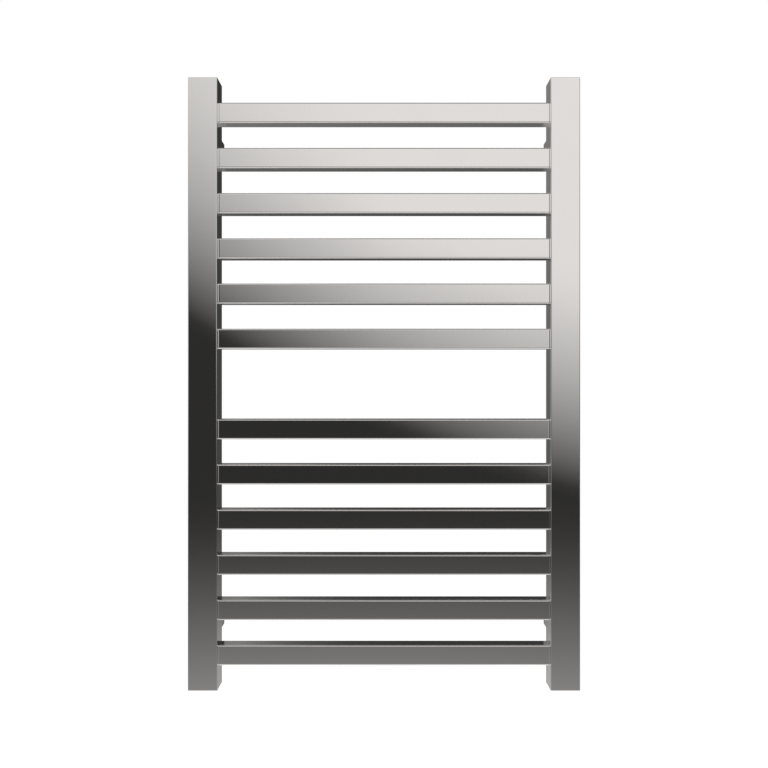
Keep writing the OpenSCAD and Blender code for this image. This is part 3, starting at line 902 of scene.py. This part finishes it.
def read_off(tree, value, points, full=FULL):
    """A level read off a line of (place, level) points, as a share of full."""
    start, end = points[0][0], points[-1][0]
    node = tree.nodes.new("ShaderNodeValToRGB")
    link(tree, spread(tree, value, start, end), node.inputs["Fac"])
    stops = node.color_ramp.elements
    for place, level in points:
        where = (place - start) / (end - start)
        if where in (0.0, 1.0):
            stop = stops[int(where) * (len(stops) - 1)]
        else:
            stop = stops.new(where)
        share = level / full
        stop.color = (share, share, share, 1)
    red = tree.nodes.new("ShaderNodeSeparateColor")
    link(tree, node.outputs["Color"], red.inputs[0])
    return red.outputs[0]


def make_studio():
    """Soft studio light: a broad sky in front above a dark band, and greys all round."""
    world = bpy.data.worlds.new("studio")
    bpy.context.scene.world = world
    world.use_nodes = True
    tree = world.node_tree
    tree.nodes.clear()
    way = tree.nodes.new("ShaderNodeSeparateXYZ")
    link(tree, tree.nodes.new("ShaderNodeTexCoord").outputs["Generated"], way.inputs[0])
    minus_z = calc(tree, "MULTIPLY", way.outputs["Z"], -1.0)
    level_square = calc(tree, "MULTIPLY_ADD", way.outputs["Z"], minus_z, 1.0)
    level_part = calc(tree, "SQRT", calc(tree, "MAXIMUM", level_square, LEAST_LEVEL ** 2))
    across, back, rise = [calc(tree, "DIVIDE", way.outputs[axis], level_part) for axis in "XYZ"]
    sideways = calc(tree, "ABSOLUTE", across)

    near_across = spread(tree, across, -SIDE_REACH, SIDE_REACH, -SIDE_REACH, SIDE_REACH)
    band_slope = calc(tree, "MULTIPLY_ADD", near_across, BAND_BEND, BAND_SLOPE)
    band = calc(tree, "MULTIPLY_ADD", band_slope, near_across, BAND_HEIGHT)
    over_band = calc(tree, "SUBTRACT", rise, band)
    sky = blend_of(tree, spread(tree, across, *SKY_ACROSS),
                   read_off(tree, over_band, STUDIO_LEFT), read_off(tree, over_band, STUDIO_RIGHT))
    front = calc(tree, "MAXIMUM", sky, read_off(tree, rise, STUDIO_BELOW))

    glow = calc(tree, "MULTIPLY", spread(tree, sideways, *GLOW_ACROSS, smooth=True),
                spread(tree, rise, *GLOW_RISE, GLOW_LEVEL / FULL, 0.0))
    lean = spread(tree, across, *LEAN_ACROSS, LEAN_LEFT / FULL, LEAN_RIGHT / FULL)
    low_back = calc(tree, "ADD", read_off(tree, rise, BEHIND_BELOW),
                    calc(tree, "ADD", glow, lean))
    high_back = calc(tree, "MULTIPLY_ADD", read_off(tree, across, BEHIND_SIDE),
                     read_off(tree, rise, BEHIND_SHARE, 1.0), read_off(tree, rise, BEHIND_BASE))
    behind = calc(tree, "MAXIMUM", low_back, high_back)

    turned_back = spread(tree, back, *TURN_BACK, smooth=True)
    round_level = blend_of(tree, turned_back, front, behind)
    shade = calc(tree, "MULTIPLY", spread(tree, back, *SHADE_BACK, smooth=True),
                 spread(tree, rise, *SHADE_RISE, 0.0, SHADE_SHARE))
    right = calc(tree, "MULTIPLY", read_off(tree, rise, FLANK_RIGHT),
                 calc(tree, "SUBTRACT", 1.0, shade))
    flank = blend_of(tree, spread(tree, across, *FLANK_SIDES),
                     read_off(tree, rise, FLANK_LEFT), right)
    level = blend_of(tree, spread(tree, sideways, *FLANK_START, smooth=True), round_level, flank)

    light = calc(tree, "DIVIDE", calc(tree, "ADD", level, SHOWN_LIFT), 1 + SHOWN_LIFT)
    light = calc(tree, "DIVIDE", calc(tree, "POWER", light, SHOWN_POWER), STEEL[1])
    room = tree.nodes.new("ShaderNodeBackground")
    link(tree, light, room.inputs["Color"])
    plain = tree.nodes.new("ShaderNodeBackground")
    plain.inputs["Color"].default_value = (1, 1, 1, 1)
    seen = swapped_for(tree, "Is Camera Ray", room.outputs[0], plain.outputs[0])
    link(tree, seen, tree.nodes.new("ShaderNodeOutputWorld").inputs["Surface"])


FLOOR_Z, FLOOR_R, FLOOR_GREY, FLOOR_GLOW = -1.0, 6, (0.86, 0.86, 0.86), 0.75


def make_floor():
    """A pale floor below the warmer, which the polished steel doesn't mirror."""
    bpy.ops.object.select_all(action="DESELECT")
    bpy.ops.mesh.primitive_circle_add(vertices=96, radius=FLOOR_R, fill_type="NGON",
                                      location=(0, 0, FLOOR_Z))
    floor = bpy.context.object
    floor.name = "pale_floor"
    finish, tree, shader, _ = new_finish("pale floor", FLOOR_GREY, 0.7)
    shader["Emission Color"].default_value = (1, 1, 1, 1)
    shader["Emission Strength"].default_value = FLOOR_GLOW
    open_air = tree.nodes.new("ShaderNodeBsdfTransparent")
    seen = swapped_for(tree, "Is Glossy Ray",
                       tree.nodes["Principled BSDF"].outputs[0], open_air.outputs[0])
    link(tree, seen, tree.nodes["Material Output"].inputs["Surface"])
    floor.data.materials.append(finish)


EYE_Y, SENSOR_WIDTH, FOCAL_LENGTH = -1.582, 36, 45.09


def make_camera():
    """The camera, level and square to the middle of the front."""
    camera = bpy.data.objects.new("camera", bpy.data.cameras.new("camera"))
    bpy.context.scene.collection.objects.link(camera)
    camera.location = (0, EYE_Y, 0)
    camera.rotation_euler = (math.radians(90), 0, 0)
    camera.data.sensor_width = SENSOR_WIDTH
    camera.data.lens = FOCAL_LENGTH
    bpy.context.scene.camera = camera


make_camera()
make_studio()
make_floor()
bpy.context.scene.view_settings.view_transform = "Standard"
for side in SIDES:
    make_post(side)
make_caps()
make_bars()
make_standoffs()
make_brackets()
make_switch_housing()
make_rocker()
make_lens()
make_gland()
